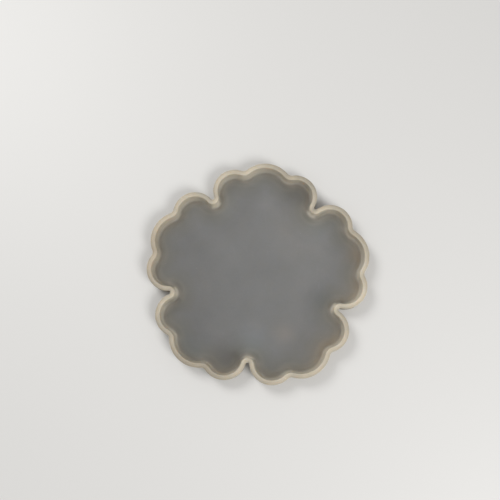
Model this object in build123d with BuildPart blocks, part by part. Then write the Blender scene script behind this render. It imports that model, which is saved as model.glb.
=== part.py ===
from build123d import *

# Flower-shaped silicone mould for casting resin coasters and small trays.
#
# The real mould is one flexible moulding: a flat cavity floor inside a low scalloped wall. The
# wall follows five petals, and each petal has three lobes, a crown between two shoulders. The
# moulding is written as six solids that meet face to face, the floor and one wall per petal.
#
# Frame: millimetres, +Z up, the origin on the flower's axis at the flat underside, and petal 1
# pointing along +Y.

import os
from math import atan2, degrees, sqrt

# Outline of the outer face
PETALS = 5
FIRST_PETAL_ANGLE = 90  # degrees
CROWN_REACH = 45.9  # flower's axis to the centre of a petal's middle lobe
CROWN_RADIUS = 16.1
SHOULDER_REACH = 47.9  # flower's axis to the centre of a petal's side lobe
SHOULDER_RADIUS = 12.0
SHOULDER_ANGLE = 20.6  # degrees between the middle and the side lobe, seen from the flower's axis
CUSP_RADIUS = 3.0  # hollow between two lobes of one petal
NOTCH_RADIUS = 1.0  # bottom of the deep notch between two petals

# Section of the wall
HEIGHT = 7.5
FLOOR_THICKNESS = 2.0
RIM_WIDTH = 2.5
DRAFT = 0.4  # how much thicker the wall is at the cavity floor than at the rim
FOOT_FILLET = 1.5  # inner face to cavity floor
RIM_ROUND = 0.3
BASE_ROUND = 0.5

PETAL_PITCH = 360 / PETALS
WALL_REACH_IN = RIM_WIDTH + DRAFT + FOOT_FILLET  # outer face to where the flat floor begins


def at(distance, angle):
    """The point at that distance from the flower's axis, in that direction."""
    return Vector(distance, 0).rotate(Axis.Z, angle)


def bearing(start, end):
    """The direction from one point to another, in degrees anticlockwise from +X."""
    step = end - start
    return degrees(atan2(step.Y, step.X))


def hollow_centre(lobe, next_lobe, radius):
    """Centre of the circle that lies in the hollow between two lobes and touches both."""
    (centre, lobe_radius), (next_centre, next_radius) = lobe, next_lobe
    span = (next_centre - centre).length
    reach = lobe_radius + radius
    along = (span**2 + reach**2 - (next_radius + radius) ** 2) / (2 * span)
    outward = sqrt(reach**2 - along**2)
    forward = (next_centre - centre).normalized()
    return centre + forward * along + forward.rotate(Axis.Z, -90) * outward


def draw_petal(petal_angle, inset=0.0):
    """Draws one petal of the outline anticlockwise, from the middle of one notch to the next.

    Its arcs join smoothly. An inset moves the outline in, towards the flower's axis, which makes
    the lobes' radii smaller and the hollows' radii larger.
    """
    crown = (at(CROWN_REACH, petal_angle), CROWN_RADIUS)
    before, first, last, after = [
        (at(SHOULDER_REACH, petal_angle + offset), SHOULDER_RADIUS)
        for offset in (
            SHOULDER_ANGLE - PETAL_PITCH,
            -SHOULDER_ANGLE,
            SHOULDER_ANGLE,
            PETAL_PITCH - SHOULDER_ANGLE,
        )
    ]
    lobes = [before, first, crown, last, after]
    hollow_radii = [NOTCH_RADIUS, CUSP_RADIUS, CUSP_RADIUS, NOTCH_RADIUS]
    hollows = [
        (hollow_centre(lobe, next_lobe, radius), radius)
        for lobe, next_lobe, radius in zip(lobes, lobes[1:], hollow_radii)
    ]

    for index, (centre, radius) in enumerate(hollows):
        # The outline goes clockwise round a hollow. The petal begins and ends halfway round one.
        start = bearing(centre, lobes[index][0])
        end = bearing(centre, lobes[index + 1][0])
        if index == 0:
            start = petal_angle - PETAL_PITCH / 2 + 180
        if index == len(hollows) - 1:
            end = petal_angle + PETAL_PITCH / 2 + 180
        CenterArc(centre, radius + inset, start, -((start - end) % 360))

        # It goes anticlockwise round the lobe that follows.
        if index < len(hollows) - 1:
            lobe, lobe_radius = lobes[index + 1]
            start = bearing(lobe, centre)
            end = bearing(lobe, hollows[index + 1][0])
            CenterArc(lobe, lobe_radius - inset, start, (end - start) % 360)


os.makedirs("parts", exist_ok=True)

# Cavity floor
with BuildPart() as cavity_floor:
    with BuildSketch():
        with BuildLine():
            for index in range(PETALS):
                draw_petal(FIRST_PETAL_ANGLE + PETAL_PITCH * index, inset=WALL_REACH_IN)
        make_face()
    extrude(amount=FLOOR_THICKNESS)
cavity_floor.part.label = "cavity_floor"
export_step(cavity_floor.part, "parts/cavity_floor.step")

# Petal walls
for index in range(PETALS):
    with BuildPart() as petal_wall:
        with BuildLine() as outer_face:
            draw_petal(FIRST_PETAL_ANGLE + PETAL_PITCH * index)
        outline_start = outer_face.line @ 0
        inwards = outline_start * -1
        with BuildSketch(Plane(outline_start, x_dir=inwards, z_dir=outer_face.line % 0)) as section:
            with BuildLine():
                Polyline(
                    (0, 0),
                    (WALL_REACH_IN, 0),
                    (WALL_REACH_IN, FLOOR_THICKNESS),
                    (RIM_WIDTH + DRAFT, FLOOR_THICKNESS),
                    (RIM_WIDTH, HEIGHT),
                    (0, HEIGHT),
                    close=True,
                )
            make_face()
            base, foot, rim = section.vertices().group_by(Axis.Y)
            fillet(foot.sort_by(Axis.X)[0], FOOT_FILLET)
            fillet(base.sort_by(Axis.X)[0], BASE_ROUND)
            fillet(rim, RIM_ROUND)
        sweep()
    petal_wall.part.label = f"petal_wall_{index + 1}"
    export_step(petal_wall.part, f"parts/{petal_wall.part.label}.step")
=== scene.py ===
"""Looks of a flower-shaped silicone mould for resin coasters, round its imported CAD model.

The real mould is one soft moulding, with no seam between its floor and its wall. So one closed
skin is built here, and it stands for the CAD floor and the five CAD walls. Lengths are in metres
unless a name says otherwise.
"""

import math

import bmesh
import bpy
from mathutils import Euler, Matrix, Vector, kdtree, noise
from mathutils.geometry import delaunay_2d_cdt


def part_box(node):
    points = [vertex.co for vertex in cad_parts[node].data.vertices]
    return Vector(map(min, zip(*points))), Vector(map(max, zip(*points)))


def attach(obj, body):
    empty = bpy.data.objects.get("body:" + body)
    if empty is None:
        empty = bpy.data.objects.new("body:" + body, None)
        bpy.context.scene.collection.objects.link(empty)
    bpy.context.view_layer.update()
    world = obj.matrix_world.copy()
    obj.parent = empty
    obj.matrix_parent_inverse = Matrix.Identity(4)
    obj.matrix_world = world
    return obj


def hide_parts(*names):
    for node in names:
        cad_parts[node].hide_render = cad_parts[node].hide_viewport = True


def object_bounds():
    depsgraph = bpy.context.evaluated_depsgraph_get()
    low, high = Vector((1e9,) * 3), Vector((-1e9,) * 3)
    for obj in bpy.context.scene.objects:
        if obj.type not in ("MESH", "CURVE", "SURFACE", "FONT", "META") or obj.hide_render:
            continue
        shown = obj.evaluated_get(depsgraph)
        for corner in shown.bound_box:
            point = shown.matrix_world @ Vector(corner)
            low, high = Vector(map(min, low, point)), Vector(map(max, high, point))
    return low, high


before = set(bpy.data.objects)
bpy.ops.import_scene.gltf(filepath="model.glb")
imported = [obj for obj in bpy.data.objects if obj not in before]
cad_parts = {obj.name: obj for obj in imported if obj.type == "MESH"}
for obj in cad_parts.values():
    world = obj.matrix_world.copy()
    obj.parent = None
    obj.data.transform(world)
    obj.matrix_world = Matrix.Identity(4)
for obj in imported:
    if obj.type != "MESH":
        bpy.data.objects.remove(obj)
cad_low, cad_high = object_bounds()

MM = 0.001
FLOOR_NODE = "cavity_floor"
WALL_NODES = sorted(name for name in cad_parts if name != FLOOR_NODE)

# Outline of the outer face. The sizes were fitted to the photograph's silhouette and rounded.
PETALS = len(WALL_NODES)
PETAL_PITCH = math.tau / PETALS
FIRST_PETAL_ANGLE = math.radians(90)
CROWN_REACH = 45.9 * MM
CROWN_RADIUS = 16.1 * MM
SHOULDER_REACH = 47.9 * MM
SHOULDER_RADIUS = 12.0 * MM
SHOULDER_ANGLE = math.radians(20.6)
CUSP_RADIUS = 3.0 * MM
NOTCH_RADIUS = 1.0 * MM

# Section of the wall
RIM_HEIGHT = cad_high.z
FLOOR_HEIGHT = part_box(FLOOR_NODE)[1].z
RIM_WIDTH = 2.5 * MM
# The rim's top falls by a crown to each edge. An exponent of 2 is an ellipse, and more is flatter.
OUTER_CROWN = 0.35 * MM
OUTER_FLATNESS = 4.5
INNER_CROWN = 0.9 * MM
INNER_FLATNESS = 3.2
DRAFT = 0.4 * MM
FOOT_FILLET = 1.5 * MM
BASE_ROUND = 0.5 * MM
WALL_REACH_IN = RIM_WIDTH + DRAFT + FOOT_FILLET

# Fineness of the mesh
ARC_STEP = 0.55 * MM
ARC_TURN = math.radians(7)
FLOOR_STEP = 1.3 * MM
FLAT_ROWS = (0.5, 1.5, 2.5)
FLAT_STEP = 0.6 * MM
BASE_STEPS = 5
FACE_STEPS = 9
RIM_STEPS = 28
FOOT_STEPS = 10
# Grid points of the floor nearer to its edge than this share of a step are left out.
GRID_CLEARANCE = 0.6
INSIDE_ONLY = 1
MERGE_DISTANCE = 1e-9
QUAD_ANGLE = math.radians(40)

# A soft moulding is never quite true
RIM_DRIFT = 0.10 * MM
FLOOR_SWELL = 0.06 * MM
DRIFT_SCALE = 38 * MM
DRIFT_SEED = 5
# The swell grows from nothing at the base to its whole at a quarter of the height.
SWELL_GROWTH = 4
RIM_SAG = 0.5
SWELL_SCALE = 24 * MM


# ---------------------------------------------------------------- outline


def polar(distance, angle):
    return Vector((math.cos(angle), math.sin(angle))) * distance


def bearing(start, end):
    return math.atan2(end.y - start.y, end.x - start.x)


def hollow_centre(lobe, next_lobe, radius):
    """Centre of the circle that lies in the hollow between two lobes and touches both."""
    (centre, lobe_radius), (next_centre, next_radius) = lobe, next_lobe
    span = (next_centre - centre).length
    reach = lobe_radius + radius
    along = (span**2 + reach**2 - (next_radius + radius) ** 2) / (2 * span)
    outward = math.sqrt(reach**2 - along**2)
    forward = (next_centre - centre) / span
    return centre + forward * along + Vector((forward.y, -forward.x)) * outward


def outline_arcs():
    """The whole outline, anticlockwise: each arc's centre, radius, start angle and turn."""
    lobes = []
    hollow_radii = []
    for petal in range(PETALS):
        angle = FIRST_PETAL_ANGLE + petal * PETAL_PITCH
        lobes.append((polar(SHOULDER_REACH, angle - SHOULDER_ANGLE), SHOULDER_RADIUS))
        lobes.append((polar(CROWN_REACH, angle), CROWN_RADIUS))
        lobes.append((polar(SHOULDER_REACH, angle + SHOULDER_ANGLE), SHOULDER_RADIUS))
        hollow_radii += [CUSP_RADIUS, CUSP_RADIUS, NOTCH_RADIUS]
    next_lobes = lobes[1:] + lobes[:1]
    hollows = [
        hollow_centre(lobe, next_lobe, radius)
        for lobe, next_lobe, radius in zip(lobes, next_lobes, hollow_radii)
    ]
    arcs = []
    for index, (centre, radius) in enumerate(lobes):
        start = bearing(centre, hollows[index - 1])
        end = bearing(centre, hollows[index])
        arcs.append((centre, radius, start, (end - start) % math.tau))
        start = bearing(hollows[index], centre)
        end = bearing(hollows[index], next_lobes[index][0])
        arcs.append((hollows[index], hollow_radii[index], start, -((start - end) % math.tau)))
    return arcs


def outline_stations(deepest):
    """Points along the outer face, each with its inward direction.

    The steps are small enough for the outline as it is at the deepest inset too.
    """
    stations = []
    for centre, radius, start, turn in outline_arcs():
        side = 1 if turn > 0 else -1
        widest = max(radius, radius - side * deepest)
        count = math.ceil(max(widest * abs(turn) / ARC_STEP, abs(turn) / ARC_TURN))
        for step in range(count):
            spoke = polar(1, start + turn * step / count)
            stations.append((centre + spoke * radius, spoke * -side))
    return stations


# ---------------------------------------------------------------- section


def bend(centre, radius, start, end, count):
    """Points on an arc of the section, from one angle to another in degrees."""
    angles = [math.radians(start + (end - start) * step / count) for step in range(count + 1)]
    return [(centre[0] + radius * math.cos(a), centre[1] + radius * math.sin(a)) for a in angles]


def spread(start, end, count):
    """Points between two others, without the two."""
    shares = [step / count for step in range(1, count)]
    return [tuple(a + (b - a) * share for a, b in zip(start, end)) for share in shares]


def rim_top(count):
    """The rim's top, from the outer face to the inner one: nearly flat, and rounded at its edges."""
    points = []
    for step in range(count + 1):
        angle = math.pi * (1 - step / count)
        inner = step * 2 > count
        crown = INNER_CROWN if inner else OUTER_CROWN
        power = 2 / (INNER_FLATNESS if inner else OUTER_FLATNESS)
        across = math.copysign(abs(math.cos(angle)) ** power, math.cos(angle))
        fall = crown * (1 - abs(math.sin(angle)) ** power)
        points.append((RIM_WIDTH / 2 * (1 + across), RIM_HEIGHT - fall))
    return points


def wall_section():
    """The wall from its base, up the outer face, over the rim and down to the cavity floor.

    Each point is its inset from the outer face, and its height.
    """
    base = bend((BASE_ROUND, BASE_ROUND), BASE_ROUND, 270, 180, BASE_STEPS)
    rim = rim_top(RIM_STEPS)
    lean = math.atan2(DRAFT, RIM_HEIGHT - FLOOR_HEIGHT)
    foot_start = RIM_WIDTH + DRAFT + FOOT_FILLET * math.tan(math.radians(45) - lean / 2)
    foot_centre = (foot_start, FLOOR_HEIGHT + FOOT_FILLET)
    foot = bend(foot_centre, FOOT_FILLET, 180 + math.degrees(lean), 270, FOOT_STEPS)
    outer_face = spread(base[-1], rim[0], FACE_STEPS)
    inner_face = spread(rim[-1], foot[0], FACE_STEPS)
    flat = [(WALL_REACH_IN + row * FLAT_STEP, FLOOR_HEIGHT) for row in FLAT_ROWS]
    return base + outer_face + rim + inner_face + foot + flat


# ---------------------------------------------------------------- skin


def filled_loop(loop, step):
    """Triangles that fill a closed loop of 2-D points: all points, then the corners of each."""
    points = [Vector(p) for p in loop]
    ring = [(index, (index + 1) % len(points)) for index in range(len(points))]
    tree = kdtree.KDTree(len(points))
    for index, point in enumerate(points):
        tree.insert(point.to_3d(), index)
    tree.balance()
    rows = math.ceil(max(p.length for p in points) / step)
    for row in range(-rows, rows + 1):
        for column in range(-rows, rows + 1):
            point = Vector((column * step, row * step))
            if tree.find(point.to_3d())[2] > GRID_CLEARANCE * step:
                points.append(point)
    filled = delaunay_2d_cdt(points, ring, [], INSIDE_ONLY, MERGE_DISTANCE)
    found, _, triangles, _, _, _ = filled
    return found, triangles


def section_paths(section):
    """How far each section point lies along the surface from the rim's inner edge, inwards."""
    paths = [0.0]
    for (inset, height), (next_inset, next_height) in zip(section, section[1:]):
        step = math.hypot(next_inset - inset, next_height - height)
        paths.append(paths[-1] + step if inset >= RIM_WIDTH else 0.0)
    return paths


def sweep_wall(skin, stations, section):
    """Adds the wall to the skin, and returns its loops of vertices, one for each section point."""
    loops = [
        [skin.verts.new((*(point + inward * inset), height)) for point, inward in stations]
        for inset, height in section
    ]
    for lower, upper in zip(loops, loops[1:]):
        for index in range(len(stations)):
            following = (index + 1) % len(stations)
            skin.faces.new((lower[index], lower[following], upper[following], upper[index]))
    return loops


def close_loop(skin, loop, upward):
    """Fills the last loop of the floor, or of the underside, with an even grid."""
    height = loop[0].co.z
    points, triangles = filled_loop([vert.co.to_2d() for vert in loop], FLOOR_STEP)
    verts = dict(enumerate(loop))
    for corners in triangles:
        for corner in corners:
            if corner not in verts:
                verts[corner] = skin.verts.new((*points[corner], height))
        corners = corners if upward else corners[::-1]
        skin.faces.new([verts[corner] for corner in corners])


def unsettle(skin):
    """Moves the skin a little inside the CAD box, as a soft moulding settles: more at the rim."""
    # Without a seed, noise_vector starts from the clock, and each run differs.
    noise.seed_set(DRIFT_SEED)
    for vert in skin.verts:
        place = vert.co / DRIFT_SCALE
        lift = vert.co.z / RIM_HEIGHT
        drift = noise.noise_vector(place) * RIM_DRIFT * lift
        swell = noise.noise(vert.co / SWELL_SCALE) * FLOOR_SWELL * min(1, lift * SWELL_GROWTH)
        vert.co += Vector((drift.x, drift.y, min(0, swell - abs(drift.z) * RIM_SAG)))
        vert.co.x = min(max(vert.co.x, cad_low.x), cad_high.x)
        vert.co.y = min(max(vert.co.y, cad_low.y), cad_high.y)


def build_skin():
    section = wall_section()
    stations = outline_stations(WALL_REACH_IN)
    skin = bmesh.new()
    loops = sweep_wall(skin, stations, section)
    close_loop(skin, loops[-1], upward=True)
    close_loop(skin, loops[0], upward=False)
    bmesh.ops.join_triangles(
        skin,
        faces=[face for face in skin.faces if len(face.verts) == 3],
        angle_face_threshold=QUAD_ANGLE,
        angle_shape_threshold=QUAD_ANGLE,
    )
    mark(skin, stations, loops, section_paths(section))
    unsettle(skin)
    return skin


# ---------------------------------------------------------------- marks for the material

# Patches of painted light and shade, seen from above: the lighter and warmer ones are painted glow
# and reflected light from the wall, the darker ones painted shadow. Centre x, y and radius in
# millimetres, then how much lighter and how much warmer than the tint, in percent. They were listed
# one by one, from the measured difference between the photograph and a render, and so hold for that
# photograph only.
FLOOR_PAINTED_SHADING = [
    (22, 27, 17, 17, 3),
    (36, 6, 14, 7, 0),
    (-35, 4, 13, -10, 0),
    (-27, -27, 12, -11, 0),
    (-37, -50, 12, -12, -14),
    (46, -40, 12, 26, 26),
    (1, -38, 9, 16, -10),
    (2, 42, 9, 9, 0),
    (20, 49, 9, -25, 4),
    (58, -4, 9, 26, 18),
    (30, 31, 8, 9, -8),
    (-13, -46, 7, -20, 6),
    (-34, 13, 7, -8, 0),
    (26, -36, 7, -6, 0),
    (-7, 55, 6, 20, -6),
    (-6, -45, 5, -14, 0),
    (27, 42, 5, -14, 0),
    (-25, 44, 4, 16, 0),
    (49, -12, 4, 18, 0),
    (18, -30, 6, 10, 9),
    (-22, 36, 6, 18, -4),
    (53, 16, 6, 0, 20),
    (36, -10, 5, -9, -4),
]
RIM_PAINTED_SHADING = [
    (60, -6, 16, 12, 0),
    (-58, 8, 20, -12, 6),
    (-33, -52, 14, -18, 4),
    (24, 56, 12, -14, 0),
    (-12, -57, 11, -10, 0),
    (-12, 58, 7, 8, 0),
]
WALL_PAINTED_SHADING = [
    (42, -42, 12, 5, 3),
    (53, 32, 11, -12, 4),
    (29, 54, 11, -13, 0),
    (-30, -52, 10, -14, 0),
    (9, 58, 8, -8, 0),
    (55, -15, 8, 10, 0),
    (-14, -56, 7, 0, 12),
]
# Between these insets, in millimetres, the rim's painted light and shade gives way to the floor's.
FLOOR_BLEND = (2.5, 6.0)

# Painted light: the light that the translucent wall passes on to its foot and to the floor beside
# it, painted into the tint. It rises and fades between these insets, in millimetres, and the rim's
# own share ends between the last two.
GLOW_RISE = (3.0, 5.0)
GLOW_FADE = (5.0, 8.0)
RIM_FADE = (2.0, 2.5)
# How much lighter, as painted light: where the wall curves round the place, and where it or the
# rim faces along GLOW_BEARING, the axis of the two lamps
GLOW_AROUND = 0.25
GLOW_FACING = 0.2
RIM_FACING = 0.1
GLOW_BEARING = math.radians(140)
GLOW_REACH = 4 * MM
GLOW_CUTOFF = 3 * GLOW_REACH

# Where the wall under the rim lies, by millimetres in from the outer face: on its own, and at the
# tip of a notch
WALL_BAND = [
    (2.0, 0.0, 0.0),
    (2.5, 0.0, 0.8),
    (3.0, 1.0, 1.0),
    (3.6, 1.0, 1.0),
    (4.4, 0.1, 0.5),
    (4.9, 0.0, 0.0),
]
# The wall is painted lighter at the tip of each notch, as painted glow, and painted darker on the
# notch's flanks, as painted shade from the neighbouring petal. They are told apart by the cosine of
# the angle between the wall's inward direction and the way to the axis: a flank lies below the
# first of TIP_COSINES, and the tip above the second. A flank that faces FLANK_BEARING is less dark,
# by FLANK_FACING. All of it fades out by reach from the axis, in millimetres.
TIP_GLOW = 0.16
TIP_COSINES = (0.6, 0.95)
FLANK_PAINTED_SHADE = -0.33
FLANK_FACING = 0.08
FLANK_BEARING = math.radians(100)
NOTCH_FADE = [
    (50, 1.0),
    (57, 0.0),
]


def looked_up(table, key):
    """The table's values at a key, in between its rows."""
    for row, next_row in zip(table, table[1:]):
        if key < next_row[0]:
            share = max(0, (key - row[0]) / (next_row[0] - row[0]))
            return [a + (b - a) * share for a, b in zip(row[1:], next_row[1:])]
    return list(table[-1][1:])


def smooth_share(value, low, high):
    """0 below low, 1 above high, and smooth between them."""
    share = min(1, max(0, (value - low) / (high - low)))
    return share * share * (3 - 2 * share)


def painted_patch_gain(patches, x, y):
    """The gain for red, green and blue that the patches of painted light and shade give at a point
    in millimetres.
    """
    tone = 0.0
    warmth = 0.0
    for centre_x, centre_y, radius, lighter, warmer in patches:
        share = math.exp(-((x - centre_x) ** 2 + (y - centre_y) ** 2) / radius**2)
        tone += lighter / 100 * share
        warmth += warmer / 100 * share
    return Vector((1 + warmth / 2, 1, 1 - warmth / 2)) * (1 + tone)


def enclosure(tree, lengths, place, inset):
    """How much the wall curves round a place: 1 beside a straight wall, and more in a lobe."""
    total = 0.0
    for _, index, distance in tree.find_range(place, inset + GLOW_CUTOFF):
        total += lengths[index] * math.exp((inset**2 - distance**2) / (2 * GLOW_REACH**2))
    return total / (GLOW_REACH * math.sqrt(math.tau))


def painted_wall_glow(tree, lengths, place, turn, inset):
    """The gain of the painted light that the wall passes on, and of the rim's painted light along
    the lamps' axis.
    """
    at_foot = smooth_share(inset / MM, *GLOW_RISE) * (1 - smooth_share(inset / MM, *GLOW_FADE))
    on_rim = 1 - smooth_share(inset / MM, *RIM_FADE)
    around = 0.0
    if at_foot:
        around = GLOW_AROUND * at_foot * (enclosure(tree, lengths, place, inset) - 1)
    facing = GLOW_FACING * at_foot + RIM_FACING * on_rim
    return (1 + around) * (1 + facing * math.cos(2 * (turn - GLOW_BEARING)))


def notch_painted_glow_and_shade(outer_point, inward, turn, inset):
    """How much painted glow, at the tip, and painted shade, on the flanks, a notch gives the wall
    under the rim.
    """
    (strength,) = looked_up(NOTCH_FADE, outer_point.length / MM)
    on_wall, on_tip = looked_up(WALL_BAND, inset / MM)
    tip_share = smooth_share(-inward.dot(outer_point.normalized()), *TIP_COSINES)
    flank = FLANK_PAINTED_SHADE + FLANK_FACING * math.cos(turn - FLANK_BEARING)
    return strength * (tip_share * on_tip * TIP_GLOW + (1 - tip_share) * on_wall * flank)


def mark(skin, stations, loops, paths):
    """Stores two marks on each vertex.

    path_mm is the way along the surface from the rim's inner edge, and on the underside it
    grows from the edge as it does on the floor. gain is for the tint's red, green and blue, and is
    all
    painted light and shade: the patches, the wall's painted glow and the notches' glow and shade.
    """
    path_layer = skin.verts.layers.float.new("path_mm")
    painted_shading_layer = skin.verts.layers.float_vector.new("painted_shading_gain")
    known = {}
    for loop, path in zip(loops, paths):
        known.update((vert, path) for vert in loop)

    lengths = []
    tree = kdtree.KDTree(len(stations))
    for index, (point, _) in enumerate(stations):
        before = stations[index - 1][0]
        after = stations[(index + 1) % len(stations)][0]
        lengths.append((before - after).length / 2)
        tree.insert(point.to_3d(), index)
    tree.balance()

    foot_path = paths[-1] - FLAT_ROWS[-1] * FLAT_STEP
    for vert in skin.verts:
        place = vert.co.to_2d().to_3d()
        _, index, inset = tree.find(place)
        beyond = inset + (foot_path - WALL_REACH_IN) * min(1, inset / WALL_REACH_IN)
        vert[path_layer] = known.get(vert, beyond) / MM

        x, y, _ = vert.co / MM
        # Painted light and shade: patches on the rim and floor, the wall's painted glow and the
        # notches' painted glow and shade, all multiplied into one gain.
        share = smooth_share(inset / MM, *FLOOR_BLEND)
        painted_shading_gain = painted_patch_gain(RIM_PAINTED_SHADING, x, y).lerp(painted_patch_gain(FLOOR_PAINTED_SHADING, x, y), share)
        outer_point, inward = stations[index]
        turn = math.atan2(-inward.y, -inward.x)
        painted_shading_gain *= painted_wall_glow(tree, lengths, place, turn, inset)
        painted_shading_gain *= 1 + notch_painted_glow_and_shade(outer_point, inward, turn, inset)
        # The wall under the rim gets its own patches of painted light and shade.
        on_wall = looked_up(WALL_BAND, inset / MM)[0]
        vert[painted_shading_layer] = painted_shading_gain * Vector((1, 1, 1)).lerp(painted_patch_gain(WALL_PAINTED_SHADING, x, y), on_wall)


# ---------------------------------------------------------------- silicone

# The tint along the surface: millimetres from the rim's inner edge, then linear colour. Corrected
# render by render, until rings of the render measured like those of the photograph.
# Partly the silicone's own colour, cream on the rim and grey on the floor, and partly painted light:
# the wall rows from 1.4 to 3.4 mm are painted lighter than the rim to make up for the shade on the
# steep wall, and the rows from 5.8 to 7.6 mm, at the foot, are painted lighter than the floor
# further in, to make up for the shadow there.
TINTS_AND_PAINTED_LIGHT = [
    (0.0, (0.345, 0.311, 0.251)),
    (0.6, (0.400, 0.363, 0.294)),
    (1.4, (0.480, 0.437, 0.357)),
    (3.4, (0.500, 0.454, 0.368)),
    (4.2, (0.435, 0.396, 0.323)),
    (5.0, (0.318, 0.290, 0.240)),
    (5.8, (0.247, 0.228, 0.193)),
    (7.6, (0.203, 0.193, 0.168)),
    (10.1, (0.176, 0.171, 0.156)),
    (13.1, (0.180, 0.177, 0.167)),
    (17.1, (0.190, 0.188, 0.183)),
    (22.1, (0.201, 0.199, 0.194)),
    (30.1, (0.199, 0.198, 0.194)),
]
TINT_SPAN = 32.0


class Nodes:
    """Adds shader nodes to one material and links them."""

    def __init__(self, material):
        material.use_nodes = True
        self.tree = material.node_tree
        self.shader = self.tree.nodes["Principled BSDF"]

    def add(self, kind, settings=None, **inputs):
        node = self.tree.nodes.new(kind)
        for name, value in (settings or {}).items():
            setattr(node, name, value)
        for name, value in inputs.items():
            self.feed(node.inputs[name.replace("_", " ")], value)
        return node

    def feed(self, socket, value):
        if isinstance(value, bpy.types.NodeSocket):
            self.tree.links.new(value, socket)
        else:
            socket.default_value = value

    def math(self, operation, *values):
        node = self.tree.nodes.new("ShaderNodeMath")
        node.operation = operation
        for socket, value in zip(node.inputs, values):
            self.feed(socket, value)
        return node.outputs[0]

    def vector(self, operation, first, second):
        node = self.tree.nodes.new("ShaderNodeVectorMath")
        node.operation = operation
        self.feed(node.inputs[0], first)
        self.feed(node.inputs["Scale"] if operation == "SCALE" else node.inputs[1], second)
        return node.outputs[0]

    def noise(self, place, size, detail):
        """Noise between 0 and 1 whose blotches are about as large as size, in metres."""
        node = self.add("ShaderNodeTexNoise", Vector=place, Scale=1 / size, Detail=detail)
        return node.outputs[0]

    def swing(self, value, strength, middle=0.0):
        """Turns noise into a number around a middle one."""
        return self.math("MULTIPLY_ADD", value, strength, middle - strength / 2)

    def step(self, value, low, high):
        """0 below low and 1 above high, or the other way round where low is the greater."""
        node = self.add("ShaderNodeMapRange", {"interpolation_type": "SMOOTHSTEP"})
        ends = (0, 1)
        if low > high:
            low, high, ends = high, low, (1, 0)
        for socket, number in zip(node.inputs, (value, low, high, *ends)):
            self.feed(socket, number)
        return node.outputs[0]


CLOUD_SIZE = 16 * MM
GRAIN_SIZE = 1.1 * MM
DUST_SPACING = 5.5 * MM
SCUFF_SIZE = 0.8 * MM
SCUFF_STRETCH = 0.1
SCUFF_TURN = math.radians(12)
RUBBED_SIZE = CLOUD_SIZE * 1.3

# Where a mark begins and where it is whole, on its noise or its distance from a cell's centre
SPECK_EDGE = (0.055, 0.025)
SPECK_CHANCE = (0.55, 0.9)
STREAK_EDGE = (0.64, 0.74)
RUBBED_EDGE = (0.5, 0.62)

# How much each mark lightens the tint, round the mean
MEAN_TONE = 1.045
CLOUD_TONE = 0.22
GRAIN_TONE = 0.10
DUST_TONE = 0.45
SCUFF_TONE = 0.07

MEAN_ROUGHNESS = 0.46
CLOUD_ROUGHNESS = 0.25
GRAIN_ROUGHNESS = 0.12
DUST_ROUGHNESS = 0.3

# Relief: each height is a share of RELIEF_DEPTH
WAVE_SIZE = 6 * MM
WAVE_HEIGHT = 1.5
GRAIN_HEIGHT = 0.5
DUST_HEIGHT = 1.2
RELIEF_DEPTH = 0.05 * MM
RELIEF_STRENGTH = 0.7

REFRACTION = 1.41
SCATTER_DEPTH = 3 * MM
SCATTER_COLOUR = (1.0, 0.85, 0.65)


def surface_marks(nodes, place):
    """The tone that clouding, grain, dust and scuffs give the tint, and the first three alone."""
    cloud = nodes.noise(place, CLOUD_SIZE, detail=3)
    grain = nodes.noise(place, GRAIN_SIZE, detail=3)

    cells = nodes.add("ShaderNodeTexVoronoi", Vector=place, Scale=1 / DUST_SPACING)
    chance = nodes.add("ShaderNodeSeparateColor", Color=cells.outputs["Color"]).outputs[0]
    speck = nodes.step(cells.outputs["Distance"], *SPECK_EDGE)
    dust = nodes.math("MULTIPLY", speck, nodes.step(chance, *SPECK_CHANCE))

    along = nodes.add("ShaderNodeMapping", Vector=place)
    along.inputs["Rotation"].default_value = (0, 0, SCUFF_TURN)
    along.inputs["Scale"].default_value = (1, SCUFF_STRETCH, 1)
    streak = nodes.step(nodes.noise(along.outputs[0], SCUFF_SIZE, detail=2), *STREAK_EDGE)
    rubbed = nodes.step(nodes.noise(place, RUBBED_SIZE, detail=1), *RUBBED_EDGE)
    scuff = nodes.math("MULTIPLY", streak, rubbed)

    clouded = nodes.swing(cloud, CLOUD_TONE, MEAN_TONE)
    tone = nodes.math("ADD", clouded, nodes.swing(grain, GRAIN_TONE))
    tone = nodes.math("MULTIPLY_ADD", dust, DUST_TONE, tone)
    tone = nodes.math("MULTIPLY_ADD", scuff, SCUFF_TONE, tone)
    return tone, cloud, grain, dust


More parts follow.
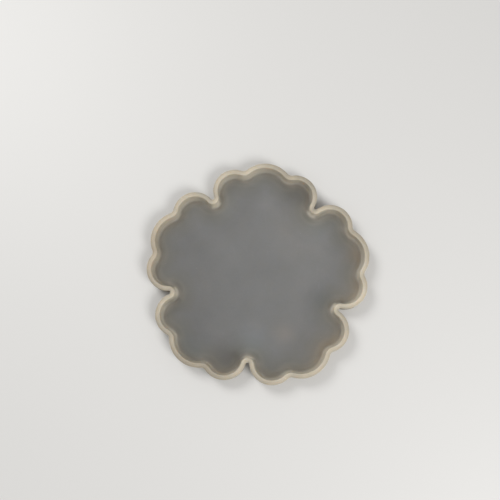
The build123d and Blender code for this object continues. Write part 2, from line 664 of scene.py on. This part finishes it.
def silicone():
    material = bpy.data.materials.new("translucent_silicone")
    nodes = Nodes(material)
    shader = nodes.shader
    place = nodes.add("ShaderNodeTexCoord").outputs["Object"]
    path = nodes.add("ShaderNodeAttribute", {"attribute_name": "path_mm"}).outputs["Fac"]
    # This attribute holds painted light and shade, which scales the tint below.
    painted_shading_gain = nodes.add("ShaderNodeAttribute", {"attribute_name": "painted_shading_gain"}).outputs["Vector"]

    ramp = nodes.add("ShaderNodeValToRGB", Fac=nodes.math("DIVIDE", path, TINT_SPAN))
    ramp.color_ramp.interpolation = "EASE"
    stops = ramp.color_ramp.elements
    while len(stops) < len(TINTS_AND_PAINTED_LIGHT):
        stops.new(0.5)
    for stop, (distance, colour) in zip(stops, TINTS_AND_PAINTED_LIGHT):
        stop.position = distance / TINT_SPAN
        stop.color = (*colour, 1)

    tone, cloud, grain, dust = surface_marks(nodes, place)
    tint = nodes.vector("MULTIPLY", ramp.outputs["Color"], painted_shading_gain)
    nodes.feed(shader.inputs["Base Color"], nodes.vector("SCALE", tint, tone))

    clouded = nodes.swing(cloud, CLOUD_ROUGHNESS, MEAN_ROUGHNESS)
    gloss = nodes.math("ADD", clouded, nodes.swing(grain, GRAIN_ROUGHNESS))
    dusted = nodes.math("MULTIPLY_ADD", dust, DUST_ROUGHNESS, gloss)
    nodes.feed(shader.inputs["Roughness"], dusted)

    waves = nodes.noise(place, WAVE_SIZE, detail=2)
    fine = nodes.math("MULTIPLY", grain, GRAIN_HEIGHT)
    relief = nodes.math("MULTIPLY_ADD", waves, WAVE_HEIGHT, fine)
    bump = nodes.add("ShaderNodeBump", Height=nodes.math("MULTIPLY_ADD", dust, DUST_HEIGHT, relief))
    bump.inputs["Distance"].default_value = RELIEF_DEPTH
    bump.inputs["Strength"].default_value = RELIEF_STRENGTH
    nodes.feed(shader.inputs["Normal"], bump.outputs[0])

    shader.inputs["IOR"].default_value = REFRACTION
    shader.inputs["Subsurface Weight"].default_value = 1.0
    shader.inputs["Subsurface Radius"].default_value = SCATTER_COLOUR
    shader.inputs["Subsurface Scale"].default_value = SCATTER_DEPTH
    return material


# ---------------------------------------------------------------- object

skin = build_skin()
mesh = bpy.data.meshes.new("silicone_mould")
skin.to_mesh(mesh)
skin.free()
mesh.polygons.foreach_set("use_smooth", [True] * len(mesh.polygons))
mesh.materials.append(silicone())
mould = bpy.data.objects.new("silicone_mould", mesh)
bpy.context.scene.collection.objects.link(mould)

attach(mould, "root")
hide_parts(FLOOR_NODE, *WALL_NODES)

# ---------------------------------------------------------------- stage, light and camera

WORLD_STRENGTH = 0.42
# The table lies a hair below the mould, so that the two faces don't coincide.
TABLE_GAP = 0.1 * MM
TABLE_SIZE = 8
TABLE_COLOUR = (0.72, 0.71, 0.69, 1)
LAMP_ELEVATION = 46
LAMP_DISTANCE = 0.8
LAMP_SIZE = 0.4
LAMPS = [
    ("key", 142, 2.7),
    ("fill", 322, 3.1),
]
# The camera's place and turn were fitted to the photograph's silhouette.
CAMERA_LENS = 48
SENSOR_WIDTH = 36
CLIP_START = 0.01
CAMERA_DISTANCE = 362.5 * MM
CAMERA_AIM = Vector((-4.94 * MM, 12.38 * MM, RIM_HEIGHT))
CAMERA_TURN = Euler([math.radians(angle) for angle in (10.57, 1.40, 5.95)])

scene = bpy.context.scene
scene.view_settings.view_transform = "Standard"
world = bpy.data.worlds.new("studio")
scene.world = world
world.use_nodes = True
world.node_tree.nodes["Background"].inputs["Color"].default_value = (1, 1, 1, 1)
world.node_tree.nodes["Background"].inputs["Strength"].default_value = WORLD_STRENGTH

bpy.ops.mesh.primitive_plane_add(size=TABLE_SIZE, location=(0, 0, cad_low.z - TABLE_GAP))
table = bpy.context.object
table.name = "studio_floor"
table_material = bpy.data.materials.new("studio_floor")
table_material.use_nodes = True
table_shader = table_material.node_tree.nodes["Principled BSDF"]
table_shader.inputs["Base Color"].default_value = TABLE_COLOUR
table.data.materials.append(table_material)


def softbox(name, azimuth, power):
    light = bpy.data.lights.new(name, "AREA")
    light.shape = "DISK"
    light.size = LAMP_SIZE
    light.energy = power
    lamp = bpy.data.objects.new(name, light)
    turn = Euler((0, -math.radians(LAMP_ELEVATION), math.radians(azimuth)))
    toward = turn.to_matrix() @ Vector((1, 0, 0))
    lamp.location = toward * LAMP_DISTANCE
    lamp.rotation_euler = toward.to_track_quat("Z", "Y").to_euler()
    bpy.context.scene.collection.objects.link(lamp)


for name, azimuth, power in LAMPS:
    softbox(name, azimuth, power)

camera = bpy.data.objects.new("camera", bpy.data.cameras.new("camera"))
camera.data.lens = CAMERA_LENS
camera.data.sensor_width = SENSOR_WIDTH
camera.data.clip_start = CLIP_START
camera.rotation_euler = CAMERA_TURN
camera.location = CAMERA_AIM + CAMERA_TURN.to_matrix() @ Vector((0, 0, CAMERA_DISTANCE))
scene.collection.objects.link(camera)
scene.camera = camera
